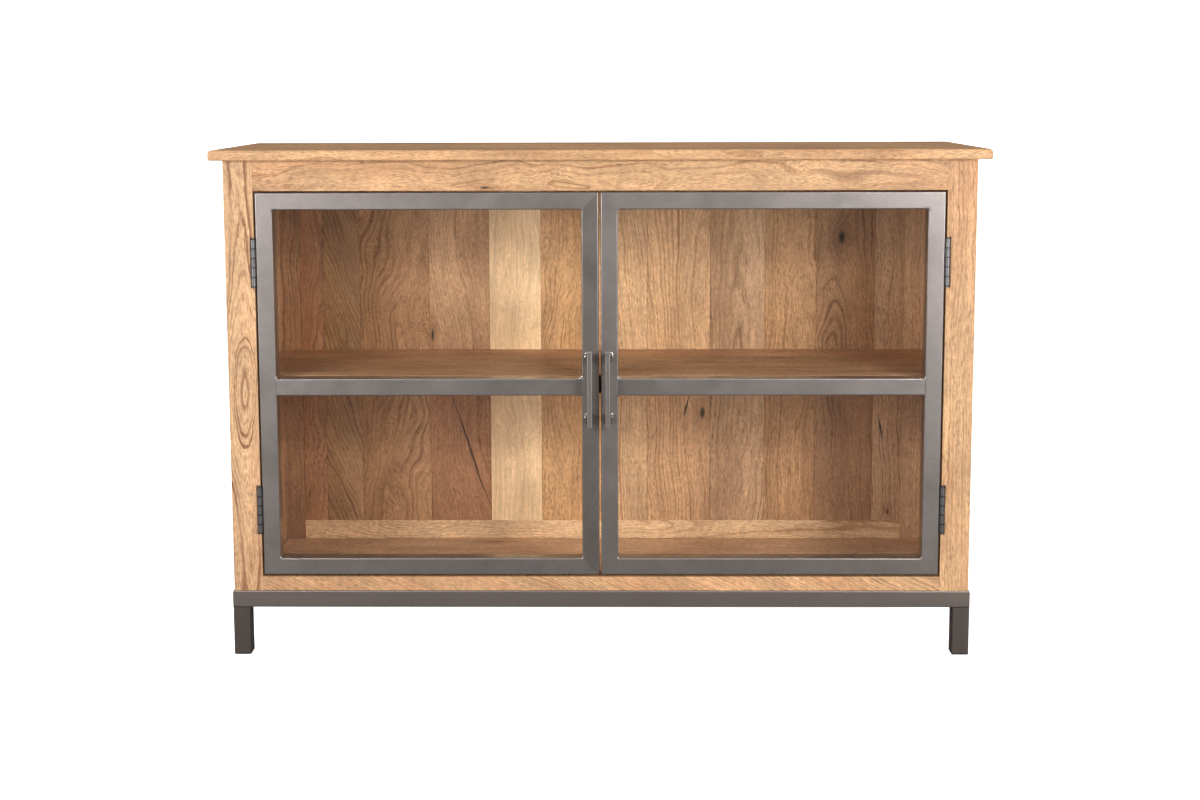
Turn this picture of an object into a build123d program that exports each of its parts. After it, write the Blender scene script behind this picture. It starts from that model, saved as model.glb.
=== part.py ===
"""Glazed sideboard: solid wood carcass on a welded steel base, with two steel-framed glass doors.

Units are millimetres. +Z is up, the front faces -Y, and the origin is on the floor, under the
middle of the whole object's box. Every piece is written to parts/ as its own STEP file.
"""
import os

from build123d import *

# ------------------------------------------------------------------ driving dimensions
# Whole cabinet
CARCASS_WIDTH = 1305.0
CARCASS_DEPTH = 372.0
FACE_Y = -171.5                 # front face of the wooden face frame and of the closed doors
BACK_Y = FACE_Y + CARCASS_DEPTH

# Top slab
TOP_WIDTH = 1350.0
TOP_DEPTH = 390.0
TOP_THICKNESS = 18.0
TOP_HEIGHT = 900.0
TOP_FRONT_OVERHANG = 14.0
TOP_UPPER_ROUND = 6.0
TOP_LOWER_ROUND = 3.0

# Wooden frame members
STILE_WIDTH = 51.0
STILE_DEPTH = 30.0
TOP_RAIL_HEIGHT = 53.0
BOTTOM_RAIL_HEIGHT = 25.5
BACK_FRAME_DEPTH = 29.0
BACK_TOP_RAIL_HEIGHT = 30.0
BACK_BOTTOM_RAIL_HEIGHT = 37.0
BACK_POST_WIDTH = 63.5
SIDE_PANEL_THICKNESS = 18.0
SIDE_PANEL_RECESS = 8.0         # the panel stands back from the outer edges of stile and post
EASED_EDGE = 0.8

# Back boards, from left to right: random widths that fill the space between the posts
BACK_BOARD_WIDTHS = (45, 72, 135, 118, 100.5, 123, 84, 123, 107, 100, 113, 57.5)
BACK_BOARD_THICKNESS = 12.0
BOARD_JOINT_CHAMFER = 0.6
BOARD_GAP = 0.4                 # shrinkage gap between neighbouring boards

# Floor and shelf
FLOOR_THICKNESS = 18.0
FLOOR_BOARD_COUNT = 3
FLOOR_CLEARANCE = 0.5
SHELF_TOP = 497.0
SHELF_THICKNESS = 20.0
SHELF_SETBACK = 48.0            # shelf's front edge behind the face frame's front
SHELF_SIDE_CLEARANCE = 0.5
CLEAT_SIZE = 20.0
CLEAT_LENGTH = 260.0

# Steel tube of the base and of the doors
TUBE = 30.0
TUBE_WALL = 2.0
TUBE_ROUND = 2.2
TUBE_INNER_ROUND = 0.6

# Base
BASE_PROUD = 2.0                # base ring stands this far proud of the carcass, all round
BASE_SIDE_PROUD = 2.7
RING_BOTTOM = 87.0
GLIDE_THICKNESS = 3.0
GLIDE_PLUG_HEIGHT = 10.0
GLIDE_PLUG_CLEARANCE = 0.05
CROSS_BAR_WIDTH = 30.0
CROSS_BAR_THICKNESS = 5.0
CROSS_BAR_SPACING = 400.0
CROSS_BAR_COUNT = 3

# Doors
DOOR_BOTTOM = 146.0
DOOR_TOP = 826.0
DOOR_HINGE_GAP = 3.0
DOOR_MEETING_GAP = 3.5
MIDDLE_RAIL_BOTTOM = 469.0

# Glazing
GLASS_THICKNESS = 4.0
GLASS_OVERLAP = 7.0             # the pane laps over the back of the tubes all round
BEAD_BASE = 6.0
BEAD_LIP = 5.0
BEAD_METAL = 1.5
BEAD_END_GAP = 0.4

# Handles, welded on by eye, so the two are not quite alike
HANDLE_OFFSET = {"left": 18.0, "right": 14.0}
HANDLE_HEIGHT = 484.0
HANDLE_LENGTH = 135.0
HANDLE_BAR = 10.0
HANDLE_BAR_ROUND = 2.5
HANDLE_STAND_OFF = 23.0
POST_WIDTH = 14.0
POST_HEIGHT = 13.0
POST_SPACING = 108.0
POST_ROUND = 1.5

# Butt hinges
HINGE_HEIGHTS = {"lower": 264.0, "upper": 704.0}
HINGE_LENGTH = 83.0
HINGE_KNUCKLES = 5
KNUCKLE_RADIUS = 4.5
KNUCKLE_END_PLAY = 0.3
HINGE_PIN_RADIUS = 2.0
HINGE_PIN_CLEARANCE = 0.05
PIN_HEAD_RADIUS = 3.6
PIN_HEAD_THICKNESS = 1.5
HINGE_AXIS_PROUD = 1.5          # the pin's axis lies this far in front of the face
LEAF_THICKNESS = 1.5
LEAF_DEPTH = 25.0               # from the face back to the leaf's free edge
LEAF_WINDOW_CLEARANCE = 0.5
KNUCKLE_NOTCH = (7.0, 4.5)      # width across the face and depth into the stile
NOTCH_END_CLEARANCE = 3.0

# Screws
SCREW_SHANK_RADIUS = 1.75
SCREW_HEAD_RADIUS = 3.5
HINGE_SCREW_SPACING = 29.0
HINGE_SCREW_SETBACK = 14.0
FRAME_SCREW_LENGTH = 16.0
DOOR_SCREW_LENGTH = 6.0
FLOOR_SCREW_LENGTH = 16.0
FLOOR_SCREW_HEAD_HEIGHT = 2.2

# Magnetic catch on the shelf's front edge
CATCH_SIZE = (46.0, 12.0, 18.0)
CATCH_BOTTOM = 467.0
CATCH_ROUND = 1.5
MAGNET_SIZE = (12.0, 5.0, 12.0)
MAGNET_OFFSET = 9.0

# ------------------------------------------------------------------ derived dimensions
HALF_CARCASS = CARCASS_WIDTH / 2
HALF_OPENING = HALF_CARCASS - STILE_WIDTH
HALF_BACK = HALF_CARCASS - BACK_POST_WIDTH
PANEL_OUTER_X = HALF_CARCASS - SIDE_PANEL_RECESS
PANEL_INNER_X = PANEL_OUTER_X - SIDE_PANEL_THICKNESS
RING_TOP = RING_BOTTOM + TUBE
TOP_UNDERSIDE = TOP_HEIGHT - TOP_THICKNESS
BACK_FRAME_Y = BACK_Y - BACK_FRAME_DEPTH
RING_HALF_WIDTH = HALF_CARCASS + BASE_SIDE_PROUD
RING_FRONT_Y = FACE_Y - BASE_PROUD
RING_BACK_Y = BACK_Y + BASE_PROUD
RING_HALF_DEPTH = (RING_BACK_Y - RING_FRONT_Y) / 2
RING_MIDDLE_Y = (RING_BACK_Y + RING_FRONT_Y) / 2
DOOR_OUTER_X = HALF_OPENING - DOOR_HINGE_GAP
DOOR_INNER_X = DOOR_MEETING_GAP / 2
DOOR_BACK_Y = FACE_Y + TUBE
HINGE_X = DOOR_OUTER_X + KNUCKLE_RADIUS
HINGE_Y = FACE_Y - HINGE_AXIS_PROUD
HINGE_SCREW_Y = FACE_Y + HINGE_SCREW_SETBACK
KNUCKLE_PITCH = HINGE_LENGTH / HINGE_KNUCKLES
SIDES = {"left": -1, "right": 1}

os.makedirs("parts", exist_ok=True)


def keep(piece, node):
    """Label a finished piece and write it to its own STEP file."""
    piece.part.label = node
    export_step(piece.part, f"parts/{node}.step")


def board(x_span, y_span, z_span, ease=EASED_EDGE):
    """A sawn board between the given limits, with its long edges eased."""
    width = x_span[1] - x_span[0]
    depth = y_span[1] - y_span[0]
    height = z_span[1] - z_span[0]
    middle = (sum(x_span) / 2, sum(y_span) / 2, z_span[0])
    longest = max((width, Axis.X), (depth, Axis.Y), (height, Axis.Z), key=lambda pair: pair[0])
    with BuildPart() as piece:
        with BuildSketch(Plane(origin=middle)):
            Rectangle(width, depth)
        extrude(amount=height)
        fillet(piece.edges().filter_by(longest[1]), radius=ease)
    return piece


def tube_section():
    """The square tube's section, drawn on the sketch that is being built."""
    RectangleRounded(TUBE, TUBE, TUBE_ROUND)
    hollow = TUBE - 2 * TUBE_WALL
    RectangleRounded(hollow, hollow, TUBE_INNER_ROUND, mode=Mode.SUBTRACT)


def hinge_spans():
    """The height of each hinge, with the lowest and highest level of its knuckles."""
    for place, height in HINGE_HEIGHTS.items():
        yield place, height, height - HINGE_LENGTH / 2, height + HINGE_LENGTH / 2


def screw_levels(height):
    """Levels of the three screws in one hinge leaf."""
    return [height - HINGE_SCREW_SPACING, height, height + HINGE_SCREW_SPACING]


# ------------------------------------------------------------------ top slab
with BuildPart() as top_panel:
    slab_middle_y = FACE_Y - TOP_FRONT_OVERHANG + TOP_DEPTH / 2
    with BuildSketch(Plane(origin=(0, slab_middle_y, TOP_UNDERSIDE))):
        RectangleRounded(TOP_WIDTH, TOP_DEPTH, TOP_LOWER_ROUND)
    extrude(amount=TOP_THICKNESS)
    fillet(top_panel.faces().sort_by(Axis.Z)[-1].edges(), radius=TOP_UPPER_ROUND)
    fillet(top_panel.faces().sort_by(Axis.Z)[0].edges(), radius=TOP_LOWER_ROUND - 0.1)
keep(top_panel, "top_panel")

# ------------------------------------------------------------------ face frame
for side, sign in SIDES.items():
    stile_middle = sign * (HALF_OPENING + STILE_WIDTH / 2)
    with BuildPart() as front_stile:
        with BuildSketch(Plane(origin=(stile_middle, FACE_Y + STILE_DEPTH / 2, RING_TOP))):
            Rectangle(STILE_WIDTH, STILE_DEPTH)
        extrude(amount=TOP_UNDERSIDE - RING_TOP)
        fillet(front_stile.edges().filter_by(Axis.Z), radius=EASED_EDGE)
        # Each hinge needs a notch for its knuckles and a shallow mortise for its leaf.
        for place, height, low, high in hinge_spans():
            notch_x = sign * (HALF_OPENING + KNUCKLE_NOTCH[0] / 2)
            notch_low = low - NOTCH_END_CLEARANCE
            with BuildSketch(Plane(origin=(notch_x, FACE_Y + KNUCKLE_NOTCH[1] / 2, notch_low))):
                Rectangle(KNUCKLE_NOTCH[0], KNUCKLE_NOTCH[1])
            extrude(amount=high - low + 2 * NOTCH_END_CLEARANCE, mode=Mode.SUBTRACT)
            mortise_x = sign * (HALF_OPENING + LEAF_THICKNESS / 2)
            with BuildSketch(Plane(origin=(mortise_x, FACE_Y + LEAF_DEPTH / 2, low))):
                Rectangle(LEAF_THICKNESS, LEAF_DEPTH)
            extrude(amount=high - low, mode=Mode.SUBTRACT)
            for level in screw_levels(height):
                hole_start = (sign * (HALF_OPENING + LEAF_THICKNESS), HINGE_SCREW_Y, level)
                with BuildSketch(Plane(origin=hole_start, z_dir=(sign, 0, 0))):
                    Circle(SCREW_SHANK_RADIUS)
                extrude(amount=FRAME_SCREW_LENGTH, mode=Mode.SUBTRACT)
    keep(front_stile, f"{side}_front_stile")

FRONT_SPAN = (FACE_Y, FACE_Y + STILE_DEPTH)
OPENING_SPAN = (-HALF_OPENING, HALF_OPENING)
front_top_rail = board(OPENING_SPAN, FRONT_SPAN, (TOP_UNDERSIDE - TOP_RAIL_HEIGHT, TOP_UNDERSIDE))
keep(front_top_rail, "front_top_rail")
front_bottom_rail = board(OPENING_SPAN, FRONT_SPAN, (RING_TOP, RING_TOP + BOTTOM_RAIL_HEIGHT))
keep(front_bottom_rail, "front_bottom_rail")

# ------------------------------------------------------------------ sides and back
BACK_SPAN = (BACK_FRAME_Y, BACK_Y)
for side, sign in SIDES.items():
    post_span = sorted((sign * HALF_BACK, sign * HALF_CARCASS))
    back_post = board(post_span, BACK_SPAN, (RING_TOP, TOP_UNDERSIDE))
    keep(back_post, f"{side}_back_post")
    panel_span = sorted((sign * PANEL_INNER_X, sign * PANEL_OUTER_X))
    side_panel = board(panel_span, (FACE_Y + STILE_DEPTH, BACK_FRAME_Y), (RING_TOP, TOP_UNDERSIDE))
    keep(side_panel, f"{side}_side_panel")

BACK_RAIL_SPAN = (-HALF_BACK, HALF_BACK)
BOARDS_BOTTOM = RING_TOP + BACK_BOTTOM_RAIL_HEIGHT
BOARDS_TOP = TOP_UNDERSIDE - BACK_TOP_RAIL_HEIGHT
back_bottom_rail = board(BACK_RAIL_SPAN, BACK_SPAN, (RING_TOP, BOARDS_BOTTOM))
keep(back_bottom_rail, "back_bottom_rail")
back_top_rail = board(BACK_RAIL_SPAN, BACK_SPAN, (BOARDS_TOP, TOP_UNDERSIDE))
keep(back_top_rail, "back_top_rail")

with BuildPart() as back_boards:
    left_edge = -HALF_BACK
    for width in BACK_BOARD_WIDTHS:
        board_middle = (left_edge + width / 2, BACK_FRAME_Y + BACK_BOARD_THICKNESS / 2, BOARDS_BOTTOM)
        with BuildSketch(Plane(origin=board_middle)) as board_end:
            Rectangle(width - BOARD_GAP, BACK_BOARD_THICKNESS)
            chamfer(board_end.vertices(), BOARD_JOINT_CHAMFER)
        extrude(amount=BOARDS_TOP - BOARDS_BOTTOM)
        left_edge += width
keep(back_boards, "back_boards")

# ------------------------------------------------------------------ floor, shelf and cleats
FLOOR_HALF_WIDTH = RING_HALF_WIDTH - TUBE - FLOOR_CLEARANCE
FLOOR_FRONT_Y = RING_FRONT_Y + TUBE + FLOOR_CLEARANCE
FLOOR_BACK_Y = RING_BACK_Y - TUBE - FLOOR_CLEARANCE
FLOOR_BOARD_DEPTH = (FLOOR_BACK_Y - FLOOR_FRONT_Y) / FLOOR_BOARD_COUNT
FLOOR_UNDERSIDE = RING_TOP - FLOOR_THICKNESS
FLOOR_BOARD_MIDDLES = [FLOOR_FRONT_Y + FLOOR_BOARD_DEPTH * (i + 0.5) for i in range(FLOOR_BOARD_COUNT)]
CROSS_BAR_XS = [CROSS_BAR_SPACING * (i - (CROSS_BAR_COUNT - 1) / 2) for i in range(CROSS_BAR_COUNT)]
FLOOR_SCREW_SPOTS = [(x, y) for x in CROSS_BAR_XS for y in FLOOR_BOARD_MIDDLES]

with BuildPart() as floor_boards:
    for middle_y in FLOOR_BOARD_MIDDLES:
        with BuildSketch(Plane(origin=(0, middle_y, FLOOR_UNDERSIDE))):
            Rectangle(2 * FLOOR_HALF_WIDTH, FLOOR_BOARD_DEPTH - BOARD_GAP)
        extrude(amount=FLOOR_THICKNESS)
    chamfer(floor_boards.edges().filter_by(Axis.X), BOARD_JOINT_CHAMFER)
    with BuildSketch(Plane.XY.offset(FLOOR_UNDERSIDE)):
        with Locations(*FLOOR_SCREW_SPOTS):
            Circle(SCREW_SHANK_RADIUS)
    extrude(amount=FLOOR_SCREW_LENGTH - CROSS_BAR_THICKNESS, mode=Mode.SUBTRACT)
keep(floor_boards, "floor_boards")

SHELF_HALF_WIDTH = PANEL_INNER_X - SHELF_SIDE_CLEARANCE
SHELF_SPAN = (FACE_Y + SHELF_SETBACK, BACK_FRAME_Y - SHELF_SIDE_CLEARANCE)
SHELF_UNDERSIDE = SHELF_TOP - SHELF_THICKNESS
shelf = board((-SHELF_HALF_WIDTH, SHELF_HALF_WIDTH), SHELF_SPAN, (SHELF_UNDERSIDE, SHELF_TOP), ease=1.5)
keep(shelf, "shelf")

with BuildPart() as shelf_cleats:
    for sign in SIDES.values():
        cleat_x = sign * (PANEL_INNER_X - CLEAT_SIZE / 2)
        with BuildSketch(Plane(origin=(cleat_x, sum(SHELF_SPAN) / 2, SHELF_UNDERSIDE - CLEAT_SIZE))):
            Rectangle(CLEAT_SIZE, CLEAT_LENGTH)
        extrude(amount=CLEAT_SIZE)
    chamfer(shelf_cleats.faces().group_by(Axis.Z)[0].edges(), 2)
keep(shelf_cleats, "shelf_cleats")

# ------------------------------------------------------------------ magnetic catch
CATCH_MIDDLE_Z = CATCH_BOTTOM + CATCH_SIZE[2] / 2
CATCH_FRONT_Y = SHELF_SPAN[0] - CATCH_SIZE[1]
with BuildPart() as catch_housing:
    with BuildSketch(Plane(origin=(0, SHELF_SPAN[0], CATCH_MIDDLE_Z), x_dir=(1, 0, 0), z_dir=(0, -1, 0))):
        RectangleRounded(CATCH_SIZE[0], CATCH_SIZE[2], CATCH_ROUND)
    extrude(amount=CATCH_SIZE[1])
    chamfer(catch_housing.faces().sort_by(Axis.Y)[0].edges(), CATCH_ROUND / 2)
keep(catch_housing, "catch_housing")

with BuildPart() as catch_magnets:
    with BuildSketch(Plane(origin=(0, CATCH_FRONT_Y, CATCH_MIDDLE_Z), x_dir=(1, 0, 0), z_dir=(0, -1, 0))):
        with Locations((-MAGNET_OFFSET, 0), (MAGNET_OFFSET, 0)):
            Rectangle(MAGNET_SIZE[0], MAGNET_SIZE[2])
    extrude(amount=MAGNET_SIZE[1])
    chamfer(catch_magnets.edges().filter_by(Axis.Y), 0.5)
keep(catch_magnets, "catch_magnets")


# ------------------------------------------------------------------ steel base
def mitred_tube(start, end, x_dir, start_normal, end_normal, screw_planes=()):
    """A tube from start to end along its centre line, cut by a plane through each end.

    Each end's normal points into the tube. The tube is drawn a tube's width too long at both
    ends, so the mitre reaches right across it. Each screw plane gets a hole through the wall.
    """
    line = Vector(*end) - Vector(*start)
    direction = line.normalized()
    first = Vector(*start) - direction * TUBE
    with BuildPart() as piece:
        with BuildSketch(Plane(origin=first, x_dir=x_dir, z_dir=direction)):
            tube_section()
        extrude(amount=line.length + 2 * TUBE)
        split(bisect_by=Plane(origin=start, z_dir=start_normal), keep=Keep.TOP)
        split(bisect_by=Plane(origin=end, z_dir=end_normal), keep=Keep.TOP)
        for screw_plane in screw_planes:
            with BuildSketch(screw_plane):
                Circle(SCREW_SHANK_RADIUS)
            extrude(amount=TUBE_WALL, mode=Mode.SUBTRACT)
    return piece


RING_LEVEL = RING_BOTTOM + TUBE / 2
CORNER_X = RING_HALF_WIDTH - TUBE / 2
CORNER_YS = {"front": RING_FRONT_Y + TUBE / 2, "back": RING_BACK_Y - TUBE / 2}
for end_name, corner_y in CORNER_YS.items():
    inward = 1 if end_name == "front" else -1
    base_rail = mitred_tube(
        (-CORNER_X, corner_y, RING_LEVEL), (CORNER_X, corner_y, RING_LEVEL), (0, 1, 0),
        (1, -inward, 0), (-1, -inward, 0))
    keep(base_rail, f"base_{end_name}_rail")
for side, sign in SIDES.items():
    base_rail = mitred_tube(
        (sign * CORNER_X, CORNER_YS["front"], RING_LEVEL),
        (sign * CORNER_X, CORNER_YS["back"], RING_LEVEL), (1, 0, 0),
        (sign, 1, 0), (sign, -1, 0))
    keep(base_rail, f"base_{side}_rail")

for side, sign in SIDES.items():
    for end_name, corner_y in CORNER_YS.items():
        with BuildPart() as leg:
            with BuildSketch(Plane(origin=(sign * CORNER_X, corner_y, GLIDE_THICKNESS))):
                tube_section()
            extrude(amount=RING_BOTTOM - GLIDE_THICKNESS)
        keep(leg, f"{end_name}_{side}_leg")

PLUG_SIDE = TUBE - 2 * TUBE_WALL - 2 * GLIDE_PLUG_CLEARANCE
with BuildPart() as foot_glides:
    with BuildSketch(Plane(origin=(0, RING_MIDDLE_Y, 0))):
        with GridLocations(2 * CORNER_X, 2 * RING_HALF_DEPTH - TUBE, 2, 2):
            RectangleRounded(TUBE, TUBE, TUBE_ROUND)
    extrude(amount=GLIDE_THICKNESS)
    chamfer(foot_glides.faces().group_by(Axis.Z)[0].edges(), 1)
    with BuildSketch(Plane(origin=(0, RING_MIDDLE_Y, GLIDE_THICKNESS))):
        with GridLocations(2 * CORNER_X, 2 * RING_HALF_DEPTH - TUBE, 2, 2):
            RectangleRounded(PLUG_SIDE, PLUG_SIDE, TUBE_INNER_ROUND + 0.1)
    extrude(amount=GLIDE_PLUG_HEIGHT)
keep(foot_glides, "foot_glides")

CROSS_BAR_LENGTH = 2 * (RING_HALF_DEPTH - TUBE)
CROSS_BAR_BOTTOM = FLOOR_UNDERSIDE - CROSS_BAR_THICKNESS
with BuildPart() as base_cross_bars:
    with BuildSketch(Plane(origin=(0, RING_MIDDLE_Y, CROSS_BAR_BOTTOM))):
        with GridLocations(CROSS_BAR_SPACING, 1, CROSS_BAR_COUNT, 1):
            Rectangle(CROSS_BAR_WIDTH, CROSS_BAR_LENGTH)
    extrude(amount=CROSS_BAR_THICKNESS)
    with BuildSketch(Plane.XY.offset(CROSS_BAR_BOTTOM)):
        with Locations(*FLOOR_SCREW_SPOTS):
            Circle(SCREW_SHANK_RADIUS)
    extrude(amount=CROSS_BAR_THICKNESS, mode=Mode.SUBTRACT)
keep(base_cross_bars, "base_cross_bars")

with BuildPart() as floor_screws:
    with BuildSketch(Plane.XY.offset(CROSS_BAR_BOTTOM - FLOOR_SCREW_HEAD_HEIGHT)):
        with Locations(*FLOOR_SCREW_SPOTS):
            Circle(SCREW_HEAD_RADIUS)
    extrude(amount=FLOOR_SCREW_HEAD_HEIGHT)
    with BuildSketch(Plane.XY.offset(CROSS_BAR_BOTTOM)):
        with Locations(*FLOOR_SCREW_SPOTS):
            Circle(SCREW_SHANK_RADIUS)
    extrude(amount=FLOOR_SCREW_LENGTH)
    chamfer(floor_screws.faces().group_by(Axis.Z)[0].edges(), 0.8)
keep(floor_screws, "floor_screws")

# ------------------------------------------------------------------ doors
DOOR_CENTRE_Y = FACE_Y + TUBE / 2
DOOR_TUBE_LEVELS = {"bottom": DOOR_BOTTOM + TUBE / 2, "top": DOOR_TOP - TUBE / 2}
WINDOW_SPAN = (DOOR_INNER_X + TUBE, DOOR_OUTER_X - TUBE)
WINDOW_LEVELS = {
    "lower": (DOOR_BOTTOM + TUBE, MIDDLE_RAIL_BOTTOM),
    "upper": (MIDDLE_RAIL_BOTTOM + TUBE, DOOR_TOP - TUBE),
}

for side, sign in SIDES.items():
    outer_x = sign * (DOOR_OUTER_X - TUBE / 2)
    inner_x = sign * (DOOR_INNER_X + TUBE / 2)

    # The four outer tubes are mitred into one another, then welded and ground flush.
    screw_planes = [
        Plane(origin=(sign * DOOR_OUTER_X, HINGE_SCREW_Y, level), z_dir=(-sign, 0, 0))
        for place, height, low, high in hinge_spans() for level in screw_levels(height)]
    stiles = (("hinge", outer_x, -sign, screw_planes), ("meeting", inner_x, sign, []))
    for stile, stile_x, inward, stile_screws in stiles:
        door_stile = mitred_tube(
            (stile_x, DOOR_CENTRE_Y, DOOR_TUBE_LEVELS["bottom"]),
            (stile_x, DOOR_CENTRE_Y, DOOR_TUBE_LEVELS["top"]), (1, 0, 0),
            (-inward, 0, 1), (-inward, 0, -1), stile_screws)
        keep(door_stile, f"{side}_door_{stile}_stile")
    for rail, level in DOOR_TUBE_LEVELS.items():
        inward = 1 if rail == "bottom" else -1
        door_rail = mitred_tube(
            (inner_x, DOOR_CENTRE_Y, level), (outer_x, DOOR_CENTRE_Y, level), (0, 1, 0),
            (sign, 0, -inward), (-sign, 0, -inward))
        keep(door_rail, f"{side}_door_{rail}_rail")

    with BuildPart() as middle_rail:
        rail_start = (sign * WINDOW_SPAN[0], DOOR_CENTRE_Y, MIDDLE_RAIL_BOTTOM + TUBE / 2)
        with BuildSketch(Plane(origin=rail_start, x_dir=(0, 1, 0), z_dir=(sign, 0, 0))):
            tube_section()
        extrude(amount=WINDOW_SPAN[1] - WINDOW_SPAN[0])
    keep(middle_rail, f"{side}_door_middle_rail")

    # Panes lie against the back of the tubes, held by angle beads round their edges.
    window_x = sign * sum(WINDOW_SPAN) / 2
    pane_width = WINDOW_SPAN[1] - WINDOW_SPAN[0] + 2 * GLASS_OVERLAP
    for place, (low, high) in WINDOW_LEVELS.items():
        pane_height = high - low + 2 * GLASS_OVERLAP
        with BuildPart() as pane:
            pane_face = Plane(
                origin=(window_x, DOOR_BACK_Y, (low + high) / 2), x_dir=(1, 0, 0), z_dir=(0, 1, 0))
            with BuildSketch(pane_face):
                Rectangle(pane_width, pane_height)
            extrude(amount=GLASS_THICKNESS)
            chamfer(pane.edges().filter_by(Axis.Y, reverse=True), 0.4)
        keep(pane, f"{side}_door_{place}_glass")

    bead_back = GLASS_THICKNESS + BEAD_METAL
    with BuildPart() as glass_beads:
        for low, high in WINDOW_LEVELS.values():
            for edge in (-1, 1):
                # Upright bead: drawn from above, its lip pointing to the pane's middle.
                pane_edge = window_x + edge * pane_width / 2
                upright_low = low - GLASS_OVERLAP + BEAD_LIP + BEAD_END_GAP
                upright_high = high + GLASS_OVERLAP - BEAD_LIP - BEAD_END_GAP
                with BuildSketch(Plane(origin=(pane_edge, DOOR_BACK_Y, upright_low))):
                    with BuildLine():
                        Polyline((0, 0), (edge * BEAD_BASE, 0), (edge * BEAD_BASE, bead_back),
                                 (-edge * BEAD_LIP, bead_back), (-edge * BEAD_LIP, GLASS_THICKNESS),
                                 (0, GLASS_THICKNESS), close=True)
                    make_face()
                extrude(amount=upright_high - upright_low)
                # Level bead: drawn from the end, running past the upright ones on both sides.
                pane_level = (high + GLASS_OVERLAP) if edge > 0 else (low - GLASS_OVERLAP)
                bead_start = (window_x - pane_width / 2 - BEAD_BASE, DOOR_BACK_Y, pane_level)
                with BuildSketch(Plane(origin=bead_start, x_dir=(0, 1, 0), z_dir=(1, 0, 0))):
                    with BuildLine():
                        Polyline((0, 0), (0, edge * BEAD_BASE), (bead_back, edge * BEAD_BASE),
                                 (bead_back, -edge * BEAD_LIP), (GLASS_THICKNESS, -edge * BEAD_LIP),
                                 (GLASS_THICKNESS, 0), close=True)
                    make_face()
                extrude(amount=pane_width + 2 * BEAD_BASE)
    keep(glass_beads, f"{side}_door_glass_beads")

    # Handle: a square bar on two short posts, welded to the meeting stile.
    handle_x = sign * HANDLE_OFFSET[side]
    with BuildPart() as handle_bar:
        bar_low = HANDLE_HEIGHT - HANDLE_LENGTH / 2
        bar_y = FACE_Y - HANDLE_STAND_OFF - HANDLE_BAR / 2
        with BuildSketch(Plane(origin=(handle_x, bar_y, bar_low))):
            RectangleRounded(HANDLE_BAR, HANDLE_BAR, HANDLE_BAR_ROUND)
        extrude(amount=HANDLE_LENGTH)
        chamfer(handle_bar.faces().filter_by(Axis.Z).edges(), 0.6)
    keep(handle_bar, f"{side}_door_handle_bar")
    with BuildPart() as handle_posts:
        post_face = Plane(origin=(handle_x, FACE_Y, HANDLE_HEIGHT), x_dir=(1, 0, 0), z_dir=(0, -1, 0))
        with BuildSketch(post_face):
            with GridLocations(1, POST_SPACING, 1, 2):
                RectangleRounded(POST_WIDTH, POST_HEIGHT, POST_ROUND)
        extrude(amount=HANDLE_STAND_OFF)
    keep(handle_posts, f"{side}_door_handle_posts")

# ------------------------------------------------------------------ hinges
def screw_cone(head_x, toward, level, mode):
    """A countersunk head's cone as deep as the leaf, its wide end at head_x."""
    with Locations(Plane(origin=(head_x, HINGE_SCREW_Y, level), z_dir=(toward, 0, 0))):
        Cone(SCREW_HEAD_RADIUS, SCREW_SHANK_RADIUS, LEAF_THICKNESS,
             align=(Align.CENTER, Align.CENTER, Align.MIN), mode=mode)


# Each leaf: its plate's side nearer the middle of the cabinet, where its screws' heads sit, which
# way they run (1 is away from the middle, into the stile), their length and its own knuckles.
LEAVES = {
    "frame": (HALF_OPENING, HALF_OPENING, 1, FRAME_SCREW_LENGTH, (0, 2, 4)),
    "door": (DOOR_OUTER_X, DOOR_OUTER_X + LEAF_THICKNESS, -1, DOOR_SCREW_LENGTH, (1, 3)),
}
PLATE_DEPTH = FACE_Y + LEAF_DEPTH - HINGE_Y
WINDOW_DEPTH = KNUCKLE_RADIUS + LEAF_WINDOW_CLEARANCE
for side, sign in SIDES.items():
    for place, height, low, high in hinge_spans():
        for leaf_name, (plate_x, head_x, run, screw_length, knuckles) in LEAVES.items():
            plate_middle = sign * (plate_x + LEAF_THICKNESS / 2)
            with BuildPart() as leaf:
                with BuildSketch(Plane(origin=(plate_middle, HINGE_Y + PLATE_DEPTH / 2, low))):
                    Rectangle(LEAF_THICKNESS, PLATE_DEPTH)
                extrude(amount=HINGE_LENGTH)
                # Windows leave room for the other leaf's knuckles to turn.
                for number in set(range(HINGE_KNUCKLES)) - set(knuckles):
                    window_low = low + number * KNUCKLE_PITCH
                    with BuildSketch(Plane(origin=(plate_middle, HINGE_Y, window_low))):
                        Rectangle(4 * LEAF_THICKNESS, 2 * WINDOW_DEPTH)
                    extrude(amount=KNUCKLE_PITCH, mode=Mode.SUBTRACT)
                for number in knuckles:
                    knuckle_low = low + number * KNUCKLE_PITCH + KNUCKLE_END_PLAY / 2
                    with BuildSketch(Plane(origin=(sign * HINGE_X, HINGE_Y, knuckle_low))):
                        Circle(KNUCKLE_RADIUS)
                    extrude(amount=KNUCKLE_PITCH - KNUCKLE_END_PLAY)
                with BuildSketch(Plane(origin=(sign * HINGE_X, HINGE_Y, low))):
                    Circle(HINGE_PIN_RADIUS + HINGE_PIN_CLEARANCE)
                extrude(amount=HINGE_LENGTH, mode=Mode.SUBTRACT)
                for level in screw_levels(height):
                    screw_cone(sign * head_x, sign * run, level, Mode.SUBTRACT)
            keep(leaf, f"{side}_{place}_hinge_{leaf_name}_leaf")


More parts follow.
